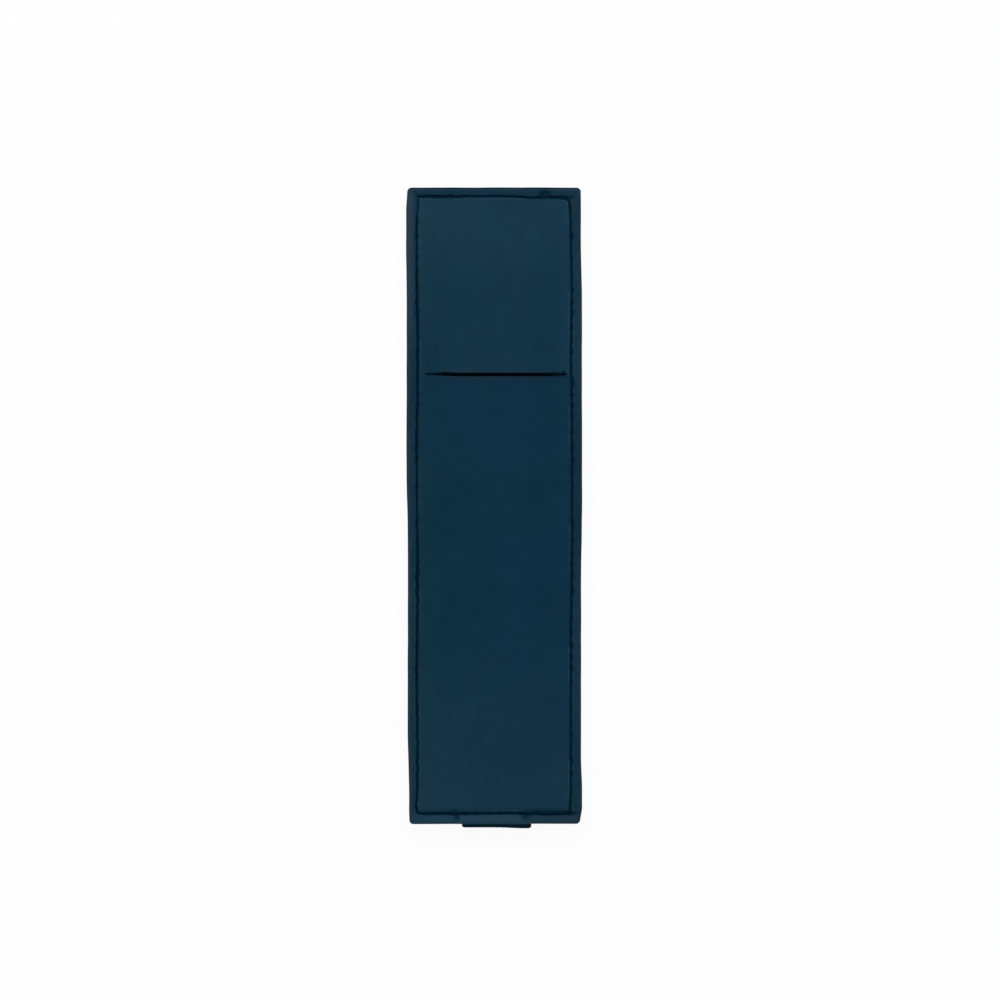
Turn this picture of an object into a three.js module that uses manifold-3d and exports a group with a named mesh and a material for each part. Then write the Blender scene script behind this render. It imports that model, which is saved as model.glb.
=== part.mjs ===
// Slim stitched leather pen pouch, held on a notebook by the elastic band sewn into its two ends.
// Millimetres. It lies on its back: +X across the pouch, +Y towards its top, +Z out of its front.
import * as THREE from 'three';
import { mergeVertices } from 'three/addons/utils/BufferGeometryUtils.js';
import Module from 'manifold-3d';

const wasm = await Module();
wasm.setup();

// Outline of the pouch
const panelLength = 200;
const panelWidth = 54.7;
const cornerRadius = 1.8;

// Leather sheet, turned over and glued down along every outer edge
const skin = 1;
const hemWidth = 4.9;
const edgeRound = 0.8;

// Front faces, crowned over the pocket, and the slit that is the pocket's mouth
const crownRise = 2.5;
const crownShoulder = 9;
const slitFromTop = 58.6;
const slitGapMiddle = 1.1;
const slitGapEnd = 0.4;

// Stiffener and lining of the back
const boardThickness = 0.8;
const liningThickness = 0.3;

// Elastic band, folded round both ends of the pouch
const bandWidth = 22;
const bandThickness = 1;
const bandLip = 4;

// Seam all round, sewn with one thread on the front and one on the back
const stitchInset = 3.1;
const stitchLength = 3.8;
const stitchRise = 0.1;
const threadThickness = 0.5;
const grooveWidth = 0.9;
const grooveDepth = 0.6;

// Clearances
const layerGap = 0.1;
const threadGap = 0.05;
const edgeGap = 0.2;
const faceGap = 0.3;
const bandGap = 0.3;

// Fineness of the curved shapes
const arcSteps = 6;
const roundSteps = 3;
const faceColumns = 16;
const lowerFaceRows = 20;
const upperFaceRows = 12;
const endCrowding = 0.6;
const weldDistance = 1e-3;
const cutOver = 1;

// Heights of the layers, from the table up
const backOuter = bandThickness + bandGap;
const backInner = backOuter + skin;
const boardBottom = backInner + layerGap;
const boardTop = boardBottom + boardThickness;
const backHemBottom = boardTop + layerGap;
const backHemTop = backHemBottom + skin;
const frontHemBottom = backHemTop + layerGap;
const frontHemTop = frontHemBottom + skin;
const frontOuter = frontHemTop + skin;
const tongueBottom = boardTop + edgeGap;
const tongueTop = tongueBottom + bandThickness;

// Plan sizes, measured from the middle of the front
const halfWidth = panelWidth / 2;
const halfLength = panelLength / 2;
const windowHalfWidth = halfWidth - hemWidth;
const windowHalfLength = halfLength - hemWidth;
const faceHalfWidth = windowHalfWidth - faceGap;
const faceHalfLength = windowHalfLength - faceGap;
const slitY = halfLength - slitFromTop;
const seamHalfWidth = halfWidth - stitchInset;
const seamHalfLength = halfLength - stitchInset;
const bandReach = edgeGap + bandThickness;
const backTopEdge = halfLength - bandReach;
const backBottomEdge = -halfLength;
const tongueEnd = windowHalfLength + edgeGap;

// A closed geometry as a solid that can be joined and cut.
function solidOf(geometry) {
  const bare = geometry.clone();
  bare.deleteAttribute('normal');
  bare.deleteAttribute('uv');
  const merged = mergeVertices(bare, weldDistance);
  return new wasm.Manifold(new wasm.Mesh({
    numProp: 3,
    vertProperties: merged.attributes.position.array,
    triVerts: new Uint32Array(merged.index.array),
  }));
}

// A solid back as a geometry.
function geometryOf(solid) {
  const { vertProperties, triVerts } = solid.getMesh();
  const geometry = new THREE.BufferGeometry();
  geometry.setAttribute('position', new THREE.BufferAttribute(vertProperties, 3));
  geometry.setIndex(new THREE.BufferAttribute(triVerts, 1));
  geometry.computeVertexNormals();
  return geometry;
}

// A box between two corners.
function block(low, high) {
  const [width, length, height] = high.map((value, i) => value - low[i]);
  const middle = high.map((value, i) => (value + low[i]) / 2);
  return new THREE.BoxGeometry(width, length, height).translate(...middle);
}

// A rectangle across the pouch from yLow to yHigh, with round corners.
function roundedOutline(halfAcross, yLow, yHigh, radius) {
  const right = halfAcross - radius;
  const bottom = yLow + radius;
  const top = yHigh - radius;
  const quarter = Math.PI / 2;
  const outline = new THREE.Shape();
  outline.absarc(right, bottom, radius, -quarter, 0);
  outline.absarc(right, top, radius, 0, quarter);
  outline.absarc(-right, top, radius, quarter, 2 * quarter);
  outline.absarc(-right, bottom, radius, 2 * quarter, 3 * quarter);
  outline.closePath();
  return outline;
}

// A slab of turned leather between two heights, with its outer edges rounded over.
function turnedSlab(yLow, yHigh, zLow, zHigh) {
  const round = Math.min(edgeRound, (zHigh - zLow) / 2 - layerGap, cornerRadius - layerGap);
  const inset = roundedOutline(halfWidth - round, yLow + round, yHigh - round, cornerRadius - round);
  return new THREE.ExtrudeGeometry(inset, {
    depth: zHigh - zLow - 2 * round,
    bevelThickness: round,
    bevelSize: round,
    bevelSegments: roundSteps,
    curveSegments: arcSteps,
  }).translate(0, 0, zLow + round);
}

// The groove that the stitches lie in, between two heights.
function seamGroove(zLow, zHigh) {
  const outerX = seamHalfWidth + grooveWidth / 2;
  const outerY = seamHalfLength + grooveWidth / 2;
  const innerX = seamHalfWidth - grooveWidth / 2;
  const innerY = seamHalfLength - grooveWidth / 2;
  const whole = solidOf(block([-outerX, -outerY, zLow], [outerX, outerY, zHigh]));
  const core = block([-innerX, -innerY, zLow - cutOver], [innerX, innerY, zHigh + cutOver]);
  return whole.subtract(solidOf(core));
}

// The room for both sewn-in ends of the band, cut right across the hems between two heights.
function bandSlot(zLow, zHigh) {
  const across = bandWidth / 2 + edgeGap;
  const past = halfLength + cutOver;
  return solidOf(block([-across, -past, zLow], [across, past, zHigh]));
}

// The open middle inside the hems, between two heights.
function hemWindow(zLow, zHigh) {
  return solidOf(block(
    [-windowHalfWidth, -windowHalfLength, zLow],
    [windowHalfWidth, windowHalfLength, zHigh],
  ));
}

// Front sheet and hem where they are sewn down all round the pocket.
function frontBorder() {
  const slab = solidOf(turnedSlab(-halfLength, halfLength, frontHemBottom, frontOuter));
  return geometryOf(slab
    .subtract(hemWindow(frontHemBottom - cutOver, frontOuter + cutOver))
    .subtract(seamGroove(frontOuter - grooveDepth, frontOuter + cutOver))
    .subtract(bandSlot(frontHemBottom - cutOver, tongueTop + edgeGap)));
}

// Back sheet wrapped round the board, with its hem turned in over the board's edge.
function backPanel() {
  const slab = solidOf(turnedSlab(backBottomEdge, backTopEdge, backOuter, backHemTop));
  const boardRoom = block(
    [-halfWidth + skin, backBottomEdge + skin, backInner],
    [halfWidth - skin, backTopEdge - skin, backHemBottom],
  );
  return geometryOf(slab
    .subtract(solidOf(boardRoom))
    .subtract(hemWindow(backInner, backHemTop + cutOver))
    .subtract(seamGroove(backOuter - cutOver, backOuter + grooveDepth))
    .subtract(bandSlot(backHemBottom, backHemTop + cutOver)));
}

// Stiffener that keeps the band from curling the pouch.
function backBoard() {
  const inset = skin + edgeGap;
  return block(
    [-halfWidth + inset, backBottomEdge + inset, boardBottom],
    [halfWidth - inset, backTopEdge - inset, boardTop],
  );
}

// Cloth glued over the board inside the hem's window.
function backLining() {
  const halfAcross = windowHalfWidth - edgeGap;
  const halfAlong = windowHalfLength - edgeGap;
  return block(
    [-halfAcross, -halfAlong, backHemBottom],
    [halfAcross, halfAlong, backHemBottom + liningThickness],
  );
}

// Height of the crown over the flat sheet: a smooth shoulder in from each edge of the window.
function crownAt(x, y) {
  const acrossShare = THREE.MathUtils.smoothstep(windowHalfWidth - Math.abs(x), 0, crownShoulder);
  const alongShare = THREE.MathUtils.smoothstep(windowHalfLength - Math.abs(y), 0, crownShoulder);
  return crownRise * acrossShare * alongShare;
}

// Half of the slit's opening, widest in the middle like a lens.
function halfSlit(x) {
  const share = x / faceHalfWidth;
  return THREE.MathUtils.lerp(slitGapMiddle, slitGapEnd, share * share) / 2;
}

// Moves a place between -0.5 and 0.5 towards the nearer end, where the shoulders need finer steps.
function towardsEnd(place) {
  return place + (endCrowding * Math.sin(2 * Math.PI * place)) / (2 * Math.PI);
}

// A crowned sheet between two edges that are given as functions of x.
function crownedFace(lowEdge, highEdge, rows) {
  const sheet = new THREE.BoxGeometry(1, 1, skin, faceColumns, rows, 1);
  const points = sheet.attributes.position;
  for (let i = 0; i < points.count; i += 1) {
    const x = 2 * faceHalfWidth * towardsEnd(points.getX(i));
    const y = THREE.MathUtils.lerp(lowEdge(x), highEdge(x), towardsEnd(points.getY(i)) + 0.5);
    points.setXYZ(i, x, y, frontHemTop + skin / 2 + points.getZ(i) + crownAt(x, y));
  }
  sheet.computeVertexNormals();
  return sheet;
}

// Flat run of the band behind the pouch, between the lips of its two ends.
function bandRun() {
  return block(
    [-bandWidth / 2, backBottomEdge + bandLip + bandGap, 0],
    [bandWidth / 2, backTopEdge - bandLip - bandGap, bandThickness],
  );
}

// One end of the band, outward +1 at the top or -1 at the bottom: a tongue in the seam,
// a fold close round the edge of the back, and a lip under it. Drawn from the side, swept across.
function bandEnd(edge, outward) {
  const inner = edge + outward * edgeGap;
  const lip = edge - outward * bandLip;
  const tongue = outward * tongueEnd;
  const up = Math.PI / 2;
  const side = outward > 0 ? 0 : Math.PI;
  const down = side - outward * up;
  const outline = new THREE.Shape();
  outline.moveTo(tongue, tongueTop);
  outline.lineTo(inner, tongueTop);
  outline.absarc(inner, tongueBottom, bandThickness, up, side, outward > 0);
  outline.absarc(inner, bandThickness, bandThickness, side, down, outward > 0);
  outline.lineTo(lip, 0);
  outline.lineTo(lip, bandThickness);
  outline.lineTo(inner, bandThickness);
  outline.lineTo(inner, tongueBottom);
  outline.lineTo(tongue, tongueBottom);
  outline.closePath();
  const swept = new THREE.ExtrudeGeometry(outline, {
    depth: bandWidth,
    bevelEnabled: false,
    curveSegments: arcSteps,
  });
  const toSide = new THREE.Matrix4().makeBasis(
    new THREE.Vector3(0, 1, 0),
    new THREE.Vector3(0, 0, 1),
    new THREE.Vector3(1, 0, 0),
  );
  return swept.applyMatrix4(toSide).translate(-bandWidth / 2, 0, 0);
}

// A closed ring of stitches: the thread is at holeZ in each needle hole and at middleZ between holes.
function stitchRing(holeZ, middleZ) {
  const corners = [[1, 1], [-1, 1], [-1, -1], [1, -1]];
  const sides = [[0, 1], [-1, 0], [0, -1], [1, 0]];
  const thick = threadThickness / 2;
  const places = [];
  corners.forEach((corner, i) => {
    const next = corners[(i + 1) % corners.length];
    const from = new THREE.Vector2(corner[0] * seamHalfWidth, corner[1] * seamHalfLength);
    const to = new THREE.Vector2(next[0] * seamHalfWidth, next[1] * seamHalfLength);
    const steps = 2 * Math.max(1, Math.round(from.distanceTo(to) / stitchLength));
    for (let k = 0; k < steps; k += 1) {
      const { x, y } = from.clone().lerp(to, k / steps);
      const [outX, outY] = k === 0 ? corner : sides[i];
      const z = k % 2 === 0 ? holeZ : middleZ;
      places.push([x + outX * thick, y + outY * thick, z]);
      places.push([x, y, z + thick]);
      places.push([x - outX * thick, y - outY * thick, z]);
      places.push([x, y, z - thick]);
    }
  });
  const around = 4;
  const triangles = [];
  for (let ring = 0; ring < places.length; ring += around) {
    const nextRing = (ring + around) % places.length;
    for (let k = 0; k < around; k += 1) {
      const l = (k + 1) % around;
      triangles.push(ring + k, nextRing + k, nextRing + l);
      triangles.push(ring + k, nextRing + l, ring + l);
    }
  }
  const geometry = new THREE.BufferGeometry();
  geometry.setAttribute('position', new THREE.Float32BufferAttribute(places.flat(), 3));
  geometry.setIndex(triangles);
  geometry.computeVertexNormals();
  return geometry;
}

// The thread on the front, and the one on the back, each just clear of its groove.
function needleThread() {
  const holeZ = frontOuter - grooveDepth + threadGap + threadThickness / 2;
  return stitchRing(holeZ, holeZ + stitchRise);
}

function bobbinThread() {
  const holeZ = backOuter + grooveDepth - threadGap - threadThickness / 2;
  return stitchRing(holeZ, holeZ - stitchRise);
}

// Finishes: dark blue-green leather, near-black elastic, tonal thread, grey board and dark cloth
const leather = { color: 0x143446, roughness: 0.5, metalness: 0 };
const elastic = { color: 0x0c2532, roughness: 0.85, metalness: 0 };
const thread = { color: 0x0a202d, roughness: 0.7, metalness: 0 };
const greyboard = { color: 0x8d857a, roughness: 0.9, metalness: 0 };
const cloth = { color: 0x1b2a31, roughness: 0.95, metalness: 0 };

function piece(name, geometry, finish) {
  const mesh = new THREE.Mesh(geometry, new THREE.MeshStandardMaterial(finish));
  mesh.name = name;
  return mesh;
}

const lowerEdge = () => -faceHalfLength;
const upperEdge = () => faceHalfLength;
const lowerLip = (x) => slitY - halfSlit(x);
const upperLip = (x) => slitY + halfSlit(x);

const band = new THREE.Group();
band.add(
  piece('band_run', bandRun(), elastic),
  piece('band_top_end', bandEnd(backTopEdge, 1), elastic),
  piece('band_bottom_end', bandEnd(backBottomEdge, -1), elastic),
);

const front = new THREE.Group();
front.add(
  piece('front_border', frontBorder(), leather),
  piece('lower_face', crownedFace(lowerEdge, lowerLip, lowerFaceRows), leather),
  piece('upper_face', crownedFace(upperLip, upperEdge, upperFaceRows), leather),
  piece('needle_thread', needleThread(), thread),
);

const back = new THREE.Group();
back.add(
  piece('back_panel', backPanel(), leather),
  piece('back_board', backBoard(), greyboard),
  piece('back_lining', backLining(), cloth),
  piece('bobbin_thread', bobbinThread(), thread),
);

// The origin is on the table under the middle of the whole length, fold of the band included.
const penPouch = new THREE.Group();
penPouch.add(band, front, back);
penPouch.children.forEach((group) => group.position.set(0, bandReach / 2, 0));

export default penPouch;
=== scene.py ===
import math
from math import pi, tau

import bpy
import numpy as np
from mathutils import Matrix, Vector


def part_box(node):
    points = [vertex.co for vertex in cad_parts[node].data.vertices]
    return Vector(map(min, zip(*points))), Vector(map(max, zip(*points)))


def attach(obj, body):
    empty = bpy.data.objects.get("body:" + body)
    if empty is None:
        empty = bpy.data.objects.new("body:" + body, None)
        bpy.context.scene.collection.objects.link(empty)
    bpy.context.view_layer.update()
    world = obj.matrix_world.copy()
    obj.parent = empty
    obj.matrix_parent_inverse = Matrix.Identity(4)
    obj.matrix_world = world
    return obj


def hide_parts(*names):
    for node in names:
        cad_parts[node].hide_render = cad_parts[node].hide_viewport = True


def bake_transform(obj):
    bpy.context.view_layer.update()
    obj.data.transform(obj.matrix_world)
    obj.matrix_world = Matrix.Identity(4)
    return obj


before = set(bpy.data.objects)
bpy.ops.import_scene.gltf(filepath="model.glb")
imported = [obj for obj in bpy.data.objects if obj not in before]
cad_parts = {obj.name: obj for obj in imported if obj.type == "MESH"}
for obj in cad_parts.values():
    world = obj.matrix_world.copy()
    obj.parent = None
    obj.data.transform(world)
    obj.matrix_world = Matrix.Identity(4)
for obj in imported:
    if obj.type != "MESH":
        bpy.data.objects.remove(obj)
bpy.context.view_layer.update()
mm = 0.001
luck = np.random.default_rng(11)  # for the needle holes, the edges and the stitches, in that order


def corners(node):
    low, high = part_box(node)
    return np.array(low), np.array(high)


borderLow, borderHigh = corners("front_border")
backLow, backHigh = corners("back_panel")
lowerLow, lowerHigh = corners("lower_face")
upperLow = corners("upper_face")[0]
needleLow, needleHigh = corners("needle_thread")
liningLow, liningHigh = corners("back_lining")
bottomEnd, topEnd = corners("band_bottom_end"), corners("band_top_end")

# plan of the pouch, from the frame: half sizes, the seam's rectangle, the slit, the heights
threadWide = 0.5 * mm
halfWide = borderHigh[0]
halfLong = (borderHigh[1] - borderLow[1]) / 2
midY = (borderHigh[1] + borderLow[1]) / 2
backHalf = (backHigh[1] - backLow[1]) / 2
backMid = (backHigh[1] + backLow[1]) / 2
halfBand = bottomEnd[1][0]
seamX = needleHigh[0] - threadWide / 2
seamY = (needleHigh[1] - needleLow[1] - threadWide) / 2
seamInset = halfWide - seamX
slitY = (lowerHigh[1] + upperLow[1]) / 2
frontTop = borderHigh[2]
skin = frontTop - lowerLow[2]
crownRise = lowerHigh[2] - frontTop

pouchCut = {
    "corner": 1.3 * mm,
    "cornerSteps": 10,
    "hem": 4.9 * mm,
    "hemRound": 0.06,  # in shares of the edge's width
    "hemBevel": 0.2 * mm,
    "frontPlay": 0.02 * mm,  # room between two layers
    "backPlay": 0.01 * mm,
    "shoulder": 14 * mm,
    "endShoulder": 28 * mm,
    # each edge, in mm: its shift to the right, or upwards, at its start, then bends from, to and by
    "leftEdge": (-0.09, [(100, 92, -0.35), (85, 62, 0.14), (12, -12, 0.42), (-42, -54, -0.1),
                         (-70, -91, 0.46), (-95, -100, 0.16)]),
    "rightEdge": (-0.16, [(82, 66, 0.33), (3, -26, -0.27), (-78, -90, 0.3), (-94.5, -100, -0.7)]),
    "bottomEdge": (-0.1, [(10, 12.5, 0.1)]),
}
seamSewing = {
    "corners": ((1.3 * mm, 0.4 * mm), (0.5 * mm, 2.1 * mm)),  # radius at the left and at the right
    # how each side strays, in mm: to the right on the long sides, upwards on the short ones
    "leftSide": (0.28, [(97, 88, -0.25), (80, 52, 0.33), (36, 20, -0.3), (-2, -20, 0.29),
                        (-26, -55, -0.32), (-56, -68, 0.19), (-80, -92, -0.12), (-90, -94, -0.3)]),
    "rightSide": (-0.75, [(97, 86, 0.3), (86, 70, 0.34), (70, 58, -0.19), (54, 46, -0.05), (44, 36, 0.2),
                          (20, 8, 0.12), (-8, -20, -0.13), (-22, -45, -0.25), (-89, -95, -0.29)]),
    "topSide": (0.06, [(-21.5, -19, -0.2), (-14, -8, 0.28), (5, 13, -0.46)]),
    "bottomSide": (0.24, [(-23, -17, 0.13), (-14, 6, 0.13), (9, 12, -0.2)]),
    "strayLong": 40 * mm,
    "longCount": 47,
    "shortCount": 13,
    "uneven": 0.14,  # how far a needle hole strays, in stitches
    "holeWide": luck.uniform(0.2, 0.4, 64),  # half width of the pull of a hole, in stitches
    "holeForce": 0.2 + 0.85 * luck.uniform(0, 1, 64),
    "sway": 0.055 * mm * np.random.default_rng(7).uniform(0.1, 1.3, 64),  # of each stitch in its groove
    "swayRight": 0.44,  # share of it on the right side
}
print(f"pouch {2000 * halfWide:.1f} x {2000 * halfLong:.1f} mm, seam {1000 * seamInset:.1f} mm in")


def smooth(value, low, high):
    t = np.clip((value - low) / (high - low), 0, 1)
    return t * t * (3 - 2 * t)


def bump(value, at, wide):
    return np.exp(-(((value - at) / wide) ** 2))


def rounded(distance, radius):
    # drop of a quarter round at a distance in from its edge
    gap = np.maximum(radius - distance, 0)
    return radius - np.sqrt(np.maximum(radius**2 - gap**2, 0))


def squaredRound(turn, power):
    # cosine and sine of a round that a power below 1 squares off
    c, s = np.cos(turn), np.sin(turn)
    return np.sign(c) * np.abs(c) ** power, np.sign(s) * np.abs(s) ** power


def graded(length, step, fine, bothEnds):
    # places from 0 to length whose steps start at fine and grow by a third each up to step
    growth = 1.35
    count = int(math.ceil(math.log(step / fine) / math.log(growth)))
    near = fine * (growth ** np.arange(count + 1) - 1) / (growth - 1)
    far = length - near[::-1] if bothEnds else np.array([length])
    middle = np.linspace(near[-1], far[0], int(round((far[0] - near[-1]) / step)) + 1)
    return np.concatenate([near, middle[1:-1], far])


def outAndBack(outside, inside):
    # each column as a closed ring, along the outside and back along the inside
    return np.concatenate([outside, inside[:, ::-1]], 1)


def outsideOnly(mark):
    return outAndBack(mark, 0 * mark)


def shell(x, y, outside, inside):
    return outAndBack(x, x), outAndBack(y, y), outAndBack(outside, inside)


def bent(place, line):
    # shift of a line: its start, then smooth steps, each from one place to another
    start, bends = line
    return mm * (start + sum(by * smooth(place / mm, first, last) for first, last, by in bends))


def sewnPhase(place, half, count):
    # stitches counted along one side of the seam, with two waves that make the pitch uneven
    flat = np.clip(place / half / 2 + 0.5, 0, 1)
    slow = np.sin(pi * flat * (count // 3))
    quick = np.sin(pi * flat * (count // 2 + 1))
    return flat * count + seamSewing["uneven"] * (slow + 0.7 * quick)


def sideCount(y):
    return sewnPhase(y - midY, seamY, seamSewing["longCount"])


def endCount(x):
    return sewnPhase(x, seamX, seamSewing["shortCount"])


def swayed(y):
    # each stitch of a long side lies aslant: its groove swings out and back, by its own amount
    phase = sideCount(y)
    stitch = np.floor(phase).astype(int) % len(seamSewing["sway"])
    return seamSewing["sway"][stitch] * np.sin(tau * phase)


def cutByHand(x, y, z):
    # each edge and each side of the seam follows its own bent line: a point shifts with the edge at
    # the outline, with the seam inside it and smoothly between
    along = y - midY
    onRight, onTop = x > 0, along > 0
    towardsEnd = np.abs(along) - halfLong
    sewn = smooth(np.minimum(halfWide - np.abs(x), -towardsEnd), 0, seamInset)
    nearEnd = smooth(towardsEnd, -seamSewing["strayLong"], 0)
    edge = np.where(onRight, bent(along, pouchCut["rightEdge"]), bent(along, pouchCut["leftEdge"]))
    side = np.where(onRight, bent(along, seamSewing["rightSide"]), bent(along, seamSewing["leftSide"]))
    side = side + swayed(y) * np.where(onRight, seamSewing["swayRight"], 1)
    end = np.where(onTop, bent(x, seamSewing["topSide"]), bent(x, seamSewing["bottomSide"]))
    low = np.where(onTop, 0, bent(x, pouchCut["bottomEdge"]))
    moveX = (1 - sewn) * edge * (x / halfWide) ** 2 + sewn * side * np.abs(x) / seamX
    moveY = nearEnd * (sewn * end + (1 - sewn) * low)
    return np.stack([x + moveX, y + moveY, z], -1)


def seamRadius(shareX, shareY):
    # radius of the seam's corner, changing evenly from one corner to the next
    right, top = np.clip(shareX / 2 + 0.5, 0, 1), np.clip(shareY / 2 + 0.5, 0, 1)
    onLeft, onRight = (low + (high - low) * top for low, high in seamSewing["corners"])
    return onLeft + (onRight - onLeft) * right


def holePull(phase):
    # 1 at a needle hole and 0 between two holes, each hole with its own force
    nearest = np.round(phase)
    hole = nearest.astype(int) % len(seamSewing["holeForce"])
    return seamSewing["holeForce"][hole] * bump(phase, nearest, seamSewing["holeWide"][hole])


def addObject(name, data):
    made = bpy.data.objects.new(name, data)
    bpy.context.scene.collection.objects.link(made)
    return made


def tubeQuads(columns, ring, loop):
    # quads of a grid whose rings close; its columns close too, or the two end rings get caps that
    # join each point to its partner on the other side
    grid = np.arange(columns * ring).reshape(columns, ring)
    grid = np.pad(grid, ((0, int(loop)), (0, 1)), "wrap")
    walls = np.stack([grid[:-1, :-1], grid[1:, :-1], grid[1:, 1:], grid[:-1, 1:]], -1).reshape(-1, 4)
    paintAt = np.tile(np.arange(ring), len(walls) // ring)
    if loop:
        return walls, paintAt
    k = np.arange(ring // 2 - 1)
    cap = np.stack([k, k + 1, ring - 2 - k, ring - 1 - k], -1)
    far = cap[:, ::-1] + (columns - 1) * ring
    capPaint = np.full(2 * len(k), ring - 1)
    return np.concatenate([walls, cap, far]), np.concatenate([paintAt, capPaint])


def buildPiece(name, points, finishes, marks, ringPaint=None, loop=False):
    # points is [columns, ring, 3], or [copies, columns, ring, 3]; marks are numbers for each point
    points = points if points.ndim == 4 else points[None]
    copies, columns, ring, _ = points.shape
    quads, paintAt = tubeQuads(columns, ring, loop)
    first = points[0].reshape(-1, 3)
    first = first - first.mean(0)
    a, b, c, d = (first[quads[:, n]] for n in range(4))
    volume = (a * (np.cross(b, c) + np.cross(c, d))).sum()
    quads = quads if volume > 0 else quads[:, ::-1]
    shift = np.arange(copies) * columns * ring
    allQuads = (quads[None] + shift[:, None, None]).reshape(-1, 4)
    mesh = bpy.data.meshes.new(name)
    mesh.from_pydata(points.reshape(-1, 3).tolist(), [], allQuads.tolist())
    for finish in finishes:
        mesh.materials.append(finish)
    if ringPaint is not None:
        mesh.polygons.foreach_set("material_index", np.tile(ringPaint[paintAt], copies))
    for key, values in marks.items():
        layer = mesh.attributes.new(key, "FLOAT", "POINT")
        spread = np.broadcast_to(values, points.shape[:-1])
        layer.data.foreach_set("value", spread.astype(np.float32).ravel())
    mesh.polygons.foreach_set("use_smooth", np.ones(len(allQuads), bool))
    mesh.set_sharp_from_angle(angle=math.radians(55))
    mesh.update()
    print(f"  {name}: {2 * len(allQuads)} triangles")
    return addObject(name, mesh)


class Sock:
    # one output socket: sums and products of it add Math nodes, any other node comes from node()
    def __init__(self, socket):
        self.socket = socket

    def node(self, kind, settings, inputs, out=0):
        tree = self.socket.id_data
        made = tree.nodes.new(kind)
        for key, value in settings.items():
            setattr(made, key, value)
        for key, value in inputs.items():
            if isinstance(value, Sock):
                tree.links.new(value.socket, made.inputs[key])
            else:
                made.inputs[key].default_value = value
        return None if out is None else Sock(made.outputs[out])

    def math(self, operation, a, b=0.0):
        return self.node("ShaderNodeMath", {"operation": operation}, {0: a, 1: b})

    def __add__(self, other):
        return self.math("ADD", self, other)

    def __sub__(self, other):
        return self.math("SUBTRACT", self, other)

    def __rsub__(self, other):
        return self.math("SUBTRACT", other, self)

    def __mul__(self, other):
        return self.math("MULTIPLY", self, other)

    __radd__, __rmul__ = __add__, __mul__

    def between(self, low, high):
        values = {"Value": self, "From Min": low, "From Max": high}
        return self.node("ShaderNodeMapRange", {"interpolation_type": "SMOOTHSTEP"}, values)

    def wave(self, length):
        return self.math("SINE", self * (tau / length))

    def tint(self, dark, light):
        return self.node("ShaderNodeMix", {"data_type": "RGBA"}, {0: self, 6: dark, 7: light}, 2)

    def noise(self, size, detail=3.0):
        return self.node("ShaderNodeTexNoise", {}, {"Vector": self, "Scale": 1 / size, "Detail": detail})

    def cells(self, size, feature, dimensions="3D"):
        settings = {"voronoi_dimensions": dimensions, "feature": feature}
        return self.node("ShaderNodeTexVoronoi", settings, {"Vector": self, "Scale": 1 / size})

    def mark(self, name):
        return self.node("ShaderNodeAttribute", {"attribute_name": name}, {}, "Fac")

    def relief(self, depth, strength):
        return self.node("ShaderNodeBump", {}, {"Height": self, "Distance": depth, "Strength": strength})

    def surface(self, colour, roughness, gloss, normal):
        values = {"Base Color": colour, "Roughness": roughness, "Normal": normal}
        shader = self.node("ShaderNodeBsdfPrincipled", {}, {**values, "Specular IOR Level": gloss})
        self.node("ShaderNodeOutputMaterial", {}, {"Surface": shader}, None)


def startFinish(name):
    # a bare material, and the Object coordinates that its patterns read
    finish = bpy.data.materials.new(name)
    finish.use_nodes = True
    finish.node_tree.nodes.clear()
    places = finish.node_tree.nodes.new("ShaderNodeTexCoord")
    return finish, Sock(places.outputs["Object"])


leatherLook = {
    "deep": (0.0011, 0.0226, 0.0428, 1),
    "bright": (0.0026, 0.0298, 0.0560, 1),
    "violet": (0.0030, 0.0245, 0.0540, 1),
    "moss": (0.0050, 0.0300, 0.0440, 1),
    # colour of the painted highlights
    "paintedLight": (0.0135, 0.0460, 0.0790, 1),
    # grey of wear and of a painted sheen
    "worn": (0.0165, 0.0350, 0.0520, 1),
    # the seam's dark, also the colour of painted shade
    "seam": (0.0001, 0.0132, 0.0295, 1),
    # painted shadow, near black
    "deepShade": (0.0001, 0.0040, 0.0110, 1),
    "cloud": 18 * mm,
    "mottle": 4.5 * mm,
    "hue": 26 * mm,
    "speck": 0.7 * mm,
    "pebble": 0.55 * mm,
    "pore": 1.3 * mm,
    "crumple": 2.2 * mm,
    "fleck": 24 * mm,
    "greyPatch": 2.5 * mm,
    "agedPatch": 7 * mm,
    "lightenedPatch": 5 * mm,
    "relief": 0.06 * mm,
    "gloss": 0.046,
}


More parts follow.
